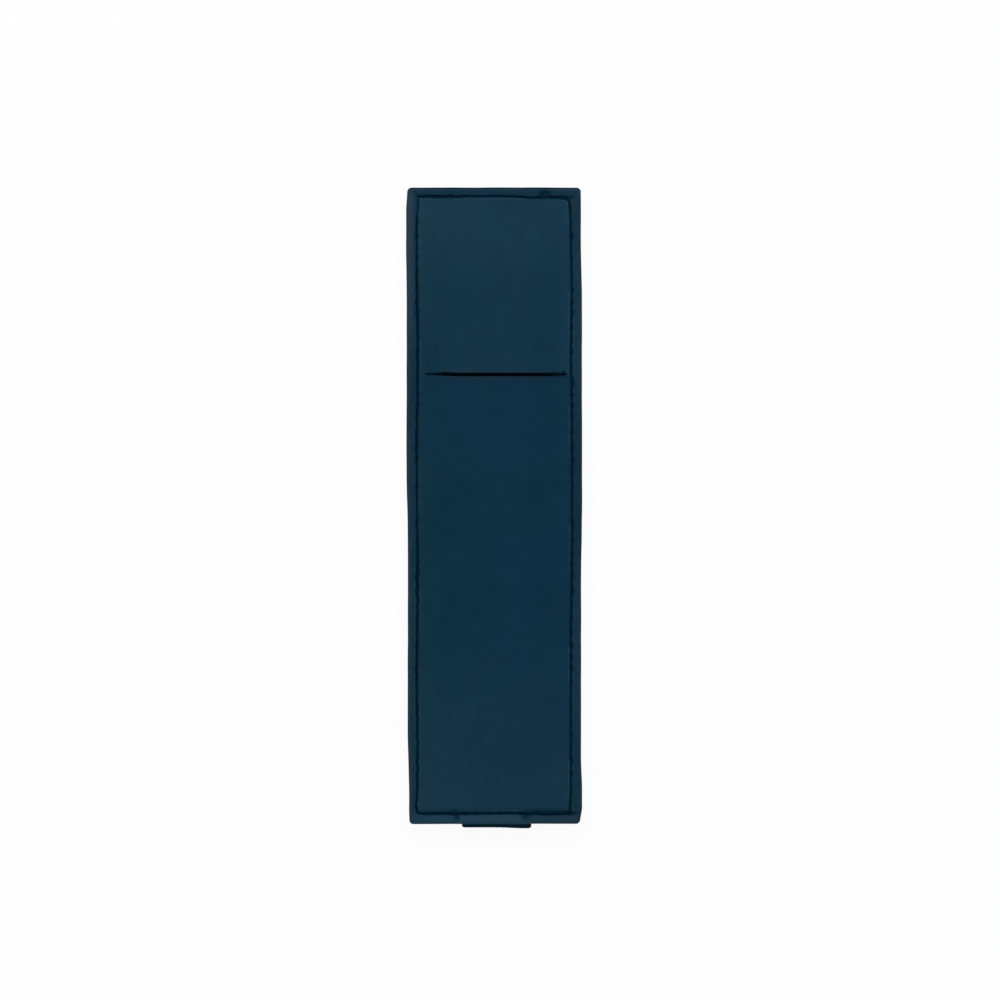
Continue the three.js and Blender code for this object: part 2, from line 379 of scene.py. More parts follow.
def grainedLeather():
    # dyed leather with slow clouds, pebbles, pores and dark flecks: greener where aged, greyer where worn
    # and under a painted sheen, paler under a painted highlight, darker in the seam, in a smudge and
    # under painted shade, and near black under a painted shadow, where that mark is over 1
    finish, place = startFinish("grained_leather")
    look = leatherLook
    cloud = place.noise(look["cloud"], 4.0)
    speck = place.noise(look["speck"], 2.0)
    pebble = place.cells(look["pebble"], "DISTANCE_TO_EDGE").between(0.0, 0.35)
    pore = place.cells(look["pore"], "F1").between(0.04, 0.16)
    crumple = place.noise(look["crumple"])
    mottle = place.noise(look["mottle"], 2.0)
    fleck = place.cells(look["fleck"], "F1", "2D")
    # greyed by wear and by a painted sheen
    rubbedAndSheen = place.mark("wearAndSheen") * place.noise(look["greyPatch"]).between(0.2, 0.65)
    aged = place.mark("moss") * place.noise(look["agedPatch"]).between(0.25, 0.6)
    # painted highlight, broken up in patches
    lightened = place.mark("paintedLight") * (0.6 + 0.8 * place.noise(look["lightenedPatch"]))
    hue = 0.5 * place.noise(look["hue"], 2.0).between(0.42, 0.62)
    tone = (0.5 * cloud + 0.32 * mottle + 0.18 * speck).between(0.26, 0.74)
    dyed = hue.tint(tone.tint(look["deep"], look["bright"]), look["violet"])
    dyed = lightened.tint(aged.tint(dyed, look["moss"]), look["paintedLight"])
    greyed = rubbedAndSheen.tint(dyed, look["worn"])
    # the seam's dark, a smudge and painted shade; over 1 it turns to a near-black painted shadow
    seamDirtAndShade = place.mark("seamDirtAndShade")
    dark = 0.9 * seamDirtAndShade + 0.5 * (1 - fleck.between(0.006, 0.014))
    colour = (seamDirtAndShade - 1).tint(dark.tint(greyed, look["seam"]), look["deepShade"])
    roughness = 0.52 + 0.12 * cloud + 0.08 * pebble - 0.1 * rubbedAndSheen
    grain = 0.5 * pebble + 0.25 * pore + 0.25 * speck + crumple
    place.surface(colour, roughness, look["gloss"], grain.relief(look["relief"], 0.75))
    return finish


def fibrous(name, look):
    # matt fibres over slower patches
    finish, place = startFinish(name)
    fibre = place.noise(*look["fibre"])
    tone = (0.6 * place.noise(*look["patch"]) + 0.4 * fibre).between(0.3, 0.7)
    matt, more = look["rough"]
    colour = tone.tint(look["dark"], look["light"])
    place.surface(colour, matt + more * fibre, look["gloss"], fibre.relief(*look["relief"]))
    return finish


cutLook = {  # raw edge of the slit
    "dark": (0.0004, 0.0110, 0.0300, 1),
    "light": (0.0024, 0.0200, 0.0500, 1),
    "patch": (0.25 * mm, 4.0),
    "fibre": (0.25 * mm, 4.0),
    "rough": (0.82, 0.1),
    "gloss": 0.0,
    "relief": (0.1 * mm, 0.6),
}
napLook = {  # inner side of the leather, its nap brushed in patches
    "dark": (0.0016, 0.0170, 0.0360, 1),
    "light": (0.0050, 0.0340, 0.0660, 1),
    "patch": (6 * mm, 3.0),
    "fibre": (0.3 * mm, 5.0),
    "rough": (0.88, 0.1),
    "gloss": 0.0,
    "relief": (0.12 * mm, 0.7),
}
boardLook = {  # pressed grey pulp
    "dark": (0.19, 0.17, 0.14, 1),
    "light": (0.32, 0.29, 0.24, 1),
    "patch": (3 * mm, 5.0),
    "fibre": (0.4 * mm, 3.0),
    "rough": (0.88, 0.08),
    "gloss": 0.2,
    "relief": (0.08 * mm, 0.5),
}
elasticLook = {
    "dark": (0.0004, 0.0108, 0.0210, 1),
    "light": (0.0020, 0.0228, 0.0425, 1),
    "worn": (0.0140, 0.0330, 0.0430, 1),
    "pitch": (0.7 * mm, 2.2 * mm),  # of two picks along it, and of two cords across it
    "crisp": 0.8,
    "fuzz": 0.35 * mm,
    "lighter": 14 * mm,
    "mix": (0.45, 0.35, 0.2),  # weave, fuzz and lighter places in the colour
    "contrast": (0.25, 0.75),
    "rough": 0.84,
    "thread": 0.7,  # share of the weave in the relief
    "deep": 0.09 * mm,
}
clothLook = {
    "dark": (0.0020, 0.0180, 0.0360, 1),
    "light": (0.0070, 0.0360, 0.0680, 1),
    "worn": (0.0070, 0.0360, 0.0680, 1),
    "pitch": (0.8 * mm, 0.8 * mm),
    "crisp": 0.9,
    "fuzz": 1.6 * mm,
    "lighter": 14 * mm,
    "mix": (0.6, 0.4, 0.0),
    "contrast": (0.2, 0.8),
    "rough": 0.86,
    "thread": 0.75,
    "deep": 0.08 * mm,
}


def woven(name, look):
    # threads along and across, in turn on top, with fuzz, paler at a worn fold
    finish, place = startFinish(name)
    lengthways, crossways = look["pitch"]
    weave = place.mark("along").wave(lengthways) * place.mark("across").wave(crossways)
    weave = weave.between(-look["crisp"], look["crisp"])
    fuzz = place.noise(look["fuzz"], 4.0)
    a, b, c = look["mix"]
    tone = (a * weave + b * fuzz + c * place.noise(look["lighter"])).between(*look["contrast"])
    colour = place.mark("wearAndSheen").tint(tone.tint(look["dark"], look["light"]), look["worn"])
    height = look["thread"] * weave + (1 - look["thread"]) * fuzz
    place.surface(colour, look["rough"] + 0.1 * fuzz, 0.01, height.relief(look["deep"], 0.7))
    return finish


threadLook = {
    "dark": (0.0001, 0.0122, 0.0270, 1),
    "light": (0.0003, 0.0225, 0.0490, 1),
    "ply": 0.75 * mm,
    "fuzz": 0.2 * mm,
}


def twistedThread():
    # plies that turn round each other, seen as slanted bands along each stitch
    finish, place = startFinish("twisted_thread")
    ply = (place.mark("along") + 0.8 * place.mark("across")).wave(threadLook["ply"]).between(-0.9, 0.9)
    fuzz = place.noise(threadLook["fuzz"])
    colour = (0.65 * ply + 0.35 * fuzz).between(0.1, 0.9).tint(threadLook["dark"], threadLook["light"])
    place.surface(colour, 0.72 + 0.15 * fuzz, 0.0, ply.relief(0.06 * mm, 0.6))
    return finish


leather = grainedLeather()
cutEdge = fibrous("cut_leather_edge", cutLook)
innerSide = fibrous("napped_inner_side", napLook)
webbing = woven("woven_elastic", elasticLook)
sewingThread = twistedThread()
cloth = woven("plain_lining_cloth", clothLook)
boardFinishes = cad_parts["back_board"].data.materials
boardFinishes.clear()
boardFinishes.append(fibrous("pressed_grey_board", boardLook))
print("finishes made")

crumple = {"count": 24, "length": (2.6 * mm, 8.0 * mm), "height": 0.028 * mm}
waveLuck = np.random.default_rng(5)
crumpleTurns = waveLuck.uniform(0, pi, crumple["count"])
crumpleLengths = waveLuck.uniform(*crumple["length"], crumple["count"])
crumplePhases = waveLuck.uniform(0, tau, crumple["count"])


def crumpled(x, y):
    # soft crumple of worn leather: many small plane waves in all directions
    total = 0 * x
    for turn, length, phase in zip(crumpleTurns, crumpleLengths, crumplePhases):
        total = total + np.sin(tau * (x * math.cos(turn) + y * math.sin(turn)) / length + phase)
    return crumple["height"] * total / math.sqrt(crumple["count"])


# front and back edges, turned over and sewn


def outlineLap(step):
    # one lap of a rounded rectangle: for each place its share of the corner's centre in x and y,
    # between -1 and 1, and its direction outwards
    quarter = np.arange(pouchCut["cornerSteps"]) / pouchCut["cornerSteps"] * pi / 2
    laps = []
    for side, half in enumerate((halfLong, halfWide, halfLong, halfWide)):
        turn = side * pi / 2
        c, s = round(math.cos(turn)), round(math.sin(turn))
        count = int(2 * half / step)
        t = np.arange(count) / count * 2 - 1
        run = [c - s * t, s + c * t, c + 0 * t, s + 0 * t]
        bend = [c - s + 0 * quarter, s + c + 0 * quarter, np.cos(turn + quarter), np.sin(turn + quarter)]
        laps += [np.array(run), np.array(bend)]
    return np.concatenate(laps, axis=1)


def onRectangle(lap, halfX, halfY, centreY, radius):
    x = lap[0] * (halfX - radius) + lap[2] * radius
    y = centreY + lap[1] * (halfY - radius) + lap[3] * radius
    return x, y


def sewnLap(step, half, centre):
    # a lap as columns, its places on the outline and on the seam, and the pull of the holes along it
    lap = outlineLap(step)[..., None]
    outer = onRectangle(lap, halfWide, half, centre, pouchCut["corner"])
    sewn = onRectangle(lap, seamX, seamY, midY, seamRadius(lap[0], lap[1]))
    upright = np.abs(lap[2]) > np.abs(lap[3])
    pull = np.where(upright, holePull(sideCount(sewn[1])), holePull(endCount(sewn[0])))
    return lap, outer, sewn, pull


def turnedEdge(look, tongue):
    # section of a turned edge, three quarters of a squared-off round and then its hem: the height on
    # the round, then for each point its share of the way in and how far it faces outwards, the seam,
    # the outline and the hem
    angle = np.linspace(0, 1.5 * pi, look["rollSteps"])
    cosine, sine = squaredRound(angle, look["square"])
    hem, hemRound = pouchCut["hem"] / seamInset, pouchCut["hemRound"]
    hemShare = [hem - hemRound, hem, hem, hem - hemRound, *tongue]
    flat = [0.0] * len(hemShare)
    toSeam = np.maximum(cosine, 0) * (angle < pi / 2)
    toHem = [1, 0.5] + flat[2:]
    pairs = [(0.5 + 0.5 * cosine, hemShare), (np.maximum(sine, 0), flat), (toSeam, flat)]
    pairs += [(np.maximum(-cosine, 0), flat), (np.maximum(-sine, 0), toHem)]
    return sine, [np.concatenate(pair) for pair in pairs]


def wayIn(outer, sewn, share):
    # x and y of the points between the outline and the seam, by their share of the way in
    return [a * (1 - share) + b * share for a, b in zip(outer, sewn)]


def atBand(lap, x, reach):
    # 1 where the elastic is sewn into an end, falling to 0 between two distances out from its side
    within = 1 - smooth(np.abs(x), halfBand + reach[0], halfBand + reach[1])
    return smooth(np.abs(lap[3]), 0.5, 0.95) * within


def lapNoise(lap, periods):
    # sum of waves with whole periods round the lap
    turn = np.arange(lap.shape[1])[:, None] / lap.shape[1] * tau
    phase = luck.uniform(0, tau, len(periods))
    waves = np.sin(turn * np.array(periods) + phase) / np.sqrt(np.arange(len(periods)) + 1)
    return waves.sum(1, keepdims=True)


def bySide(lap, values):
    # a value for the right, top, left and bottom side, turning smoothly at the corners
    facing = np.maximum(np.stack([lap[2], lap[3], -lap[2], -lap[3]]), 0) ** 2
    return (facing * np.array(values)[:, None, None]).sum(0)


frontEdge = {
    "step": 0.5 * mm,
    "rollSteps": 44,
    "square": 0.72,  # 1 is a round roll, less is flatter on top
    "sag": 0.06 * mm,
    "fall": 0.15 * mm,  # the top falls towards the seam
    "tongue": 1.12,  # the roll's inner end, in shares of the edge's width from the outline
    # by side, right, top, left and bottom, in shares of the edge's width
    "gape": (0.02, 0.05, 0.07, 0.06),
    "scallop": (0.09, 0.06, 0.06, 0.05),
    "holeShade": (0.2, 0.05, 0.1, 0.04),  # painted shade: how far the dark of the seam spreads at a hole
    "ragged": 0.45,
    "rubbedAndSheen": (0.6, 0.3, 0.55, 0.1),  # greyed along the outer edge, by wear and by a painted sheen
    "greying": (0.3, 0.1, 0.33, 0.05),  # greyed all over, by wear and by a painted sheen
    "mossy": (0.7, 0.2, 0.7, 0.1),
    # painted highlight by side, and how far in it reaches
    "paintedLight": (0.05, 0.13, 0.25, 0.66),
    "paleReach": (0.5, 0.9, 0.48, 1.2),
    # painted shade along the outer rim, by side
    "outerLine": (0.15, 1.0, 0.1, 0.0),
    "lit": (0.5, 0.2, 0.4, 0.2),  # painted highlight on the shoulder beside the seam, between two holes
    # greyed more by wear and painted sheen right of the elastic, at the low corners and at the top left,
    # less down the right
    "greyingMore": (0.35, 0.6, 0.25, -0.1),
    "greyingReach": 3 * mm,
    "freshRight": (0, -40 * mm),
    "paleLeft": (40 * mm, 78 * mm),  # the painted highlight on the left edge is strongest at its top
    "paleBand": 0.44,  # and on the bottom one over the elastic
    "mossLeft": (-15 * mm, -45 * mm),  # greenest at the bottom of the left edge
    "shutLeft": (89 * mm, 94 * mm),  # the left seam is shut at its top
    "shutBy": 0.08,
    # how dark the side edges are along their length: at the top, then changes from, to and by
    "leftShade": (0.0, [(62, 42, 0.26), (36, 22, -0.18), (-14, -30, -0.08)]),
    "rightShade": (0.2, [(88, 78, -0.2), (50, 14, 0.44), (-6, -34, -0.44), (-64, -74, 0.14)]),
    "pullDown": 0.05 * mm,
    "waver": 0.008,
    "swell": 0.05 * mm,
    "bandBulge": 0.2 * mm,
    "bulgeTop": 0.45,  # share of it at the top end
    "bandRoom": 0.14 * mm,
    "bandReach": (-0.2 * mm, 1.3 * mm),
    "pleat": 0.06 * mm,
    "pleatCount": 14,
    "mitre": 0.12 * mm,
    "mitreWide": 0.22,
    "flank": (0.15, 0.6),  # shares of the width between which a crease deepens
    "tailDeep": 0.5 * mm,  # the seam's crease past its right corners
    "tailWide": 0.6 * mm,
    "tailStart": 0.5 * mm,
    "tailFade": (0.7, 0.7 * mm),
    "stub": 0.7,
    "stubEnd": np.array([1.3, 0.8]) * mm,
    # near-black painted shadow in the tail's crease at the bottom, and where it fades out
    "tailShadow": 0.8,
    "tailShadowEnd": np.array([1.7, 0.7]) * mm,
    # a painted highlight on the top edge towards its ends: how much, and from where to where
    "topLine": [(0.8, -20 * mm, -23 * mm), (1.4, 18 * mm, 22 * mm)],
    # at the top, 1, or bottom, -1: a crease's place and half width in mm, gape, depth in mm, and darkness
    # of its painted shade
    "creases": [
        (1, -18.3, 3.8, 0.16, 0, 0),
        (1, -13.7, 0.8, 0.13, 0.06, 0.2),
        (1, 16.0, 1.6, 0.08, 0.6, 2.4),
        (1, 19.5, 3.5, 0.1, 0, 0),
        (-1, -11.8, 0.8, 0.06, 0.3, 1.4),
        (-1, 9.9, 1.5, 0.09, 0.3, 1.2),
        (-1, 16.4, 5.5, 0.1, 0, 0),
    ],
}


def frontRoll():
    # a squared-off roll from the seam over the top and round the outer edge, then a flat hem inside;
    # needle holes scallop its inner shoulder, and it swells over the sewn-in elastic
    own = frontEdge
    lap, (outerX, outerY), (sewnX, sewnY), pull = sewnLap(own["step"], halfLong, midY)
    onLeft, onRight, onBottom = lap[2] < -0.5, lap[2] > 0.5, lap[3] < -0.5

    def side(key):
        return bySide(lap, own[key])

    sine, (share, top, inner, outer, under) = turnedEdge(own, [own["tongue"]])
    upper = 1.0 * (np.arange(len(share)) < own["rollSteps"] * 2 / 3)
    low, high, bevel = borderLow[2], borderHigh[2], pouchCut["hemBevel"]
    hemTop = high - skin - pouchCut["frontPlay"]
    hemZ = [low, low + bevel, hemTop - bevel, hemTop, hemTop]
    z = np.concatenate([(low + high) / 2 + (high - low) / 2 * sine, hemZ])

    overBand = atBand(lap, outerX, own["bandReach"])
    bulge = overBand * np.where(lap[3] < 0, 1.0, own["bulgeTop"])
    atCorner = (lap[2] * lap[3]) ** 2 * 4
    pleats = atCorner * np.cos(own["pleatCount"] * np.arctan2(np.abs(lap[3]), np.abs(lap[2])))
    mitre = bump(lap[2] + lap[3], 0, own["mitreWide"]) * (lap[2] < 0) * (lap[3] > 0)
    swell = own["swell"] * lapNoise(lap, [3, 7, 12, 19, 31, 53])
    waver = own["waver"] * lapNoise(lap, [4, 9, 17, 29, 41])
    ragged = 1 + own["ragged"] * lapNoise(lap, [6, 11, 23, 37, 61])
    shut = smooth(sewnY - midY, *own["shutLeft"]) * onLeft
    gape = side("gape") * np.maximum(ragged, 0.1) - own["shutBy"] * shut + side("scallop") * pull
    for end, at, wide, opens, deep, shade in own["creases"]:
        gape = gape + opens * bump(sewnX, at * mm, wide * mm) * (lap[3] * end > 0.5)
    x, y = wayIn((outerX, outerY), (sewnX, sewnY), share - gape * inner + waver * outer)
    # the mitre and each crease sink, and get painted shade
    depth, dark = own["mitre"] * mitre, 0.5 * mitre
    for end, at, wide, opens, deep, shade in own["creases"]:
        here = bump(x, at * mm, wide * mm) * (lap[3] * end > 0.5)
        depth, dark = depth + deep * mm * here, dark + shade * here
    # past its right corners the seam's crease runs on, to the edge at the bottom, less far at the top; it
    # gets painted shade, near black at the bottom
    pastSeam = smooth(x, seamX - own["tailStart"], seamX)
    fade, fadeFrom = own["tailFade"]
    tail = bump(y, midY - seamY, own["tailWide"]) * (1 - fade * smooth(x, seamX + fadeFrom, halfWide))
    stub = bump(y, midY + seamY, own["tailWide"]) * smooth(x, *(seamX + own["stubEnd"]))
    deepShade = tail * pastSeam * smooth(x, *(seamX + own["tailShadowEnd"]))
    tail = (tail + own["stub"] * stub) * pastSeam

    z = z + swell * top - own["pullDown"] * pull * inner + own["bandBulge"] * bulge * top
    z = z + own["bandRoom"] * overBand * under - depth * top * smooth(share, *own["flank"])
    sagged = own["sag"] * bump(share, 0.55, 0.16) + own["fall"] * smooth(share, 0.15, 0.9)
    z = z + own["pleat"] * pleats * top - sagged * top + crumpled(x, y) * top
    z = z - own["tailDeep"] * tail * top

    # wear with a painted sheen, greening, painted highlights, the seam's dark and painted shade of its
    # upper side
    reach = own["greyingReach"]
    rightOfBand = smooth(outerX, halfBand, halfBand + reach) * onBottom
    lowCorner = bump(np.abs(outerX), halfWide, reach) * bump(outerY, midY - halfLong, reach)
    upLeft = smooth(outerY, *own["paleLeft"]) * onLeft
    downRight = smooth(outerY, *own["freshRight"]) * onRight
    greying = side("greying")
    for more, where in zip(own["greyingMore"], (rightOfBand, lowCorner, upLeft, downRight)):
        greying = greying + more * where
    wearAndSheen = greying + side("rubbedAndSheen") * bump(share, 0.15, 0.14)
    # painted highlight: by side, more at the top left, less right of the elastic, more over it, and along
    # the top edge towards its ends
    lightened = side("paintedLight") * (1 + 3 * upLeft) * (1 - 0.6 * rightOfBand)
    lightened = lightened + own["paleBand"] * overBand * (lap[3] < 0)
    paleReach = side("paleReach") + 0.3 * upLeft
    palest = lightened * (1 - smooth(share, 0.4 * paleReach, paleReach))
    for light, first, last in own["topLine"]:
        palest = palest + light * smooth(outerX, first, last) * (lap[3] > 0.3) * bump(share, 0.16, 0.07)
    # painted highlight on the shoulder between two holes
    lit = side("lit") * smooth(ragged, 0.7, 1.2) * (1 - np.minimum(pull, 1))
    mossy = side("mossy") * np.where(onLeft, smooth(outerY, *own["mossLeft"]), 1)
    shaded = np.where(onRight, bent(outerY - midY, own["rightShade"]) / mm, 0)
    shaded = np.where(onLeft, bent(outerY - midY, own["leftShade"]) / mm, shaded)
    # the seam's dark, with painted shade spreading from each hole, along the outer rim, in the mitre, the
    # creases and the tail, and along the sides
    darkest = smooth(share + side("holeShade") * pull, 0.78, 0.95) * (1 - 0.5 * shut)
    darkest = darkest + side("outerLine") * (1 - smooth(share, 0.1, 0.24))
    darkest = darkest + dark * smooth(share, *own["flank"]) + tail + shaded
    seamDirtAndShade = np.minimum(darkest, 1) + own["tailShadow"] * deepShade
    marks = {
        "wearAndSheen": wearAndSheen * upper,
        "moss": mossy * upper,
        "paintedLight": (palest + lit * bump(share, 0.77, 0.08)) * upper,
        "seamDirtAndShade": seamDirtAndShade * upper + 0.5 * (upper == 0) * (share > 0.6),
    }
    return buildPiece("front_turned_edge", cutByHand(x, y, z), [leather], marks, loop=True)


backEdge = {
    "step": 0.55 * mm,
    "rollSteps": 40,
    "square": 0.5,
    "grooveDeep": 0.85 * mm,
    "wrap": 1.05,  # in thicknesses of the leather
    "tongue": 1.1,
    "swell": 0.03 * mm,
    "scallop": 0.12,
    "bandReach": (0.2 * mm, 1.2 * mm),
    "greying": 0.25,
    "rubbedAndSheen": 0.5,
}


def backRoll():
    # the same turned edge on the back: round the board's edge and in over it as a hem
    own = backEdge
    lap, outer, sewn, pull = sewnLap(own["step"], backHalf, backMid)
    wrap = own["wrap"] * skin / seamInset
    sine, (share, outside, inner, _, upper) = turnedEdge(own, [wrap, wrap, own["tongue"]])
    low, high, bevel = backLow[2], backHigh[2], pouchCut["hemBevel"]
    inside, floor = high - skin, low + skin - pouchCut["backPlay"]
    roll = (low + high) / 2 - (high - low) / 2 * sine
    roll = np.where(inner[: len(roll)] > 0, np.minimum(roll, low + own["grooveDeep"]), roll)
    z = np.concatenate([roll, [high, high - bevel, inside + bevel, inside, inside, floor, floor]])
    underBand = atBand(lap, outer[0], own["bandReach"])
    swell = own["swell"] * lapNoise(lap, [4, 7, 13, 23, 37])
    share = share - own["scallop"] * pull * inner
    z = z + swell * outside - skin * underBand * upper * (share < pouchCut["hem"] / seamInset)
    x, y = wayIn(outer, sewn, share)
    marks = {
        "wearAndSheen": (own["greying"] + own["rubbedAndSheen"] * bump(share, 0.1, 0.12)) * (outside > 0),
        "seamDirtAndShade": smooth(share, 0.86, 1.0) * (outside > 0) + (outside == 0) * (share > 0.6),
    }
    return buildPiece("back_turned_edge", cutByHand(x, y, z), [leather], marks, loop=True)


# front sheet in four parts that meet level: the slit parts the lower from the upper, and each has
# two halves

frontSheet = {
    "step": 0.42 * mm,
    "rowStep": 0.5 * mm,
    "fine": 0.03 * mm,
    "leastThick": 0.15 * mm,
    "settle": 4 * mm,  # the slow unevenness is full this far in from the seam
    "seamRound": 0.72 * mm,
    "seamDark": (0.02 * mm, 0.38 * mm),
    "lipRound": 0.3 * mm,
    "pullDown": 0.2 * mm,
    "pullReach": 0.75 * mm,
    "pullFull": 0.5 * mm,
    "pucker": 0.04 * mm,
    "puckerReach": 2.0 * mm,
    "crest": (0.7, 1.1),  # painted highlight along the stitches, by the left seam and by the others
    "crestAt": (0.52 * mm, 0.18 * mm),
    # painted light: the upper face lighter, more by the right seam, and each face lighter towards its end
    # seam
    "lighterAbove": 0.15,
    "lighterRight": (0.15, 2.5 * mm),
    "lighterTop": (0.15, 0.15),  # all across, and more at the left
    "lighterBottom": (0.28, 0.1),
    "lighterAcross": (6 * mm, -18 * mm),
    "lipWear": (0.55, 1.0),  # of the upper and of the lower lip
    "lipWearAt": (0.1 * mm, 0.8 * mm),
    # painted sheen beside the left seam
    "leftSheen": 0.18,
    "leftSheenReach": 1.6 * mm,
    "mossLeft": 0.5,
    "mossReach": 4.5 * mm,
    "mossSlit": 0.85,  # less of it by the slit
    "mossSlitReach": 20 * mm,
    "smudge": 0.3,  # a dark place at the left above the slit
    "smudgeX": (-19.5 * mm, 4 * mm),
    "smudgeY": (5 * mm, 8 * mm),
    # under the slit, from its left end to its right one: place, darkness and reach of a shade
    "shadeAt": np.array([-18, -13, 11, 15]) * mm,
    "shade": [0.42, 0.7, 0.7, 0.85],
    "shadeReach": np.array([2.6, 1.2, 1.2, 1.1]) * mm,
    # the sheet sinks beside the bottom seam, with painted shade in the dip: left of the elastic, over it,
    # right of it
    "sunkAt": np.array([-12.5, -11, 9.5, 11.5]) * mm,
    "sunk": [0.42, 0.22, 0.22, 1.0],
    "sunkCrease": 0.4,
    "sunkCreaseAt": (-12 * mm, 1.6 * mm),
    "sunkReach": (0.2 * mm, 2.0 * mm),
    "sunkDeep": 0.15 * mm,
    "liftFrom": 22.3 * mm,
    "liftTo": 2 * mm,
}
mouthSlit = {
    "half": 0.52 * mm,
    "shutHalf": 0.05 * mm,
    "drop": 0.26 * mm,
    "leftRise": 0.16 * mm,
    "leftEnd": -22.2 * mm,
    "rightEnd": 23.2 * mm,
    "leftOpens": (-19.8 * mm, -15.2 * mm),  # shut at the first place, open at the second
    "rightOpens": (22.5 * mm, 15.0 * mm),
    "close": 0.35 * mm,
    "leftCrease": 0.5 * mm,  # half of the painted shade of the crease along the shut ends
    "rightCrease": 0.85 * mm,
    "leftCreased": (-11.0 * mm, -16.0 * mm),  # none at the first place, full at the second
    "rightCreased": (15.0 * mm, 19.0 * mm),
    "creaseSoft": 0.1 * mm,
    "creaseRound": 0.7,  # how much rounder the lips are there, in widths of the crease
    "tick": 0.65 * mm,
    "tickAt": (22.07 * mm, 0.3 * mm),
    "tickDark": 1.5,
}


def seamDistance(x, y, r):
    # distance in from the seam's rectangle with corners of radius r, positive inside
    pastX = np.abs(x) - (seamX - r)
    pastY = np.abs(y - midY) - (seamY - r)
    outside = np.hypot(np.maximum(pastX, 0), np.maximum(pastY, 0))
    return r - outside - np.minimum(np.maximum(pastX, pastY), 0)


def crown(x, y):
    # smooth shoulders in from the edges of the pocket, flat in the middle
    across = smooth(halfWide - pouchCut["hem"] - np.abs(x), 0, pouchCut["shoulder"])
    along = smooth(halfLong - pouchCut["hem"] - np.abs(y - midY), 0, pouchCut["endShoulder"])
    return crownRise * across * along


def handWave(x, y):
    # slow unevenness of the sheet
    quick = np.cos(x / (9 * mm)) * np.sin(y / (17 * mm) + 0.6)
    slow = np.cos(x / (15 * mm)) * np.sin(y / (31 * mm) + 2.1)
    lopsided = np.sin(x / (7.5 * mm)) * np.cos(y / (12 * mm) + 0.4)
    return mm * (0.09 * quick + 0.1 * slow + 0.07 * lopsided)


def stitchLit(x, y):
    # painted highlight along some stitches and none along others, strongest at the middle of a stitch
    side = sideCount(y) + np.where(x > 0, 5, 0)
    phase = np.where(seamY - np.abs(y - midY) < seamX - np.abs(x), endCount(x), side)
    return smooth(np.sin(37 * np.floor(phase)), 0.1, 0.6) * np.abs(np.sin(pi * phase)) ** 0.5


def puckers(x, y):
    # the sheet rises between two needle holes and falls at each, less and less away from the seam
    fromSide = np.exp((np.abs(x) - seamX) / frontSheet["puckerReach"])
    fromEnd = np.exp((np.abs(y - midY) - seamY) / frontSheet["puckerReach"])
    alongSide, alongEnd = np.cos(tau * sideCount(y)), np.cos(tau * endCount(x))
    return -frontSheet["pucker"] * (alongSide * fromSide + alongEnd * fromEnd)


def needlePull(x, y):
    # pull of the nearest needle hole on the sheet inside the seam
    sidePull = holePull(sideCount(y)) * bump(seamX - np.abs(x), 0, frontSheet["pullReach"])
    endPull = holePull(endCount(x)) * bump(seamY - np.abs(y - midY), 0, frontSheet["pullReach"])
    return np.maximum(sidePull, endPull)


def slitShape(x):
    # along the cut: 1 where it is, half of its opening and half of the dark crease at its shut ends
    slit = mouthSlit
    cut = smooth(x, slit["leftEnd"], slit["leftEnd"] + slit["close"])
    cut = cut * smooth(x, slit["rightEnd"], slit["rightEnd"] - slit["close"])
    agape = smooth(x, *slit["leftOpens"]) * smooth(x, *slit["rightOpens"])
    opening = cut * (slit["shutHalf"] + (slit["half"] - slit["shutHalf"]) * agape)
    crease = slit["leftCrease"] * smooth(x, *slit["leftCreased"])
    crease = crease + slit["rightCrease"] * smooth(x, *slit["rightCreased"])
    return cut, opening, cut * crease


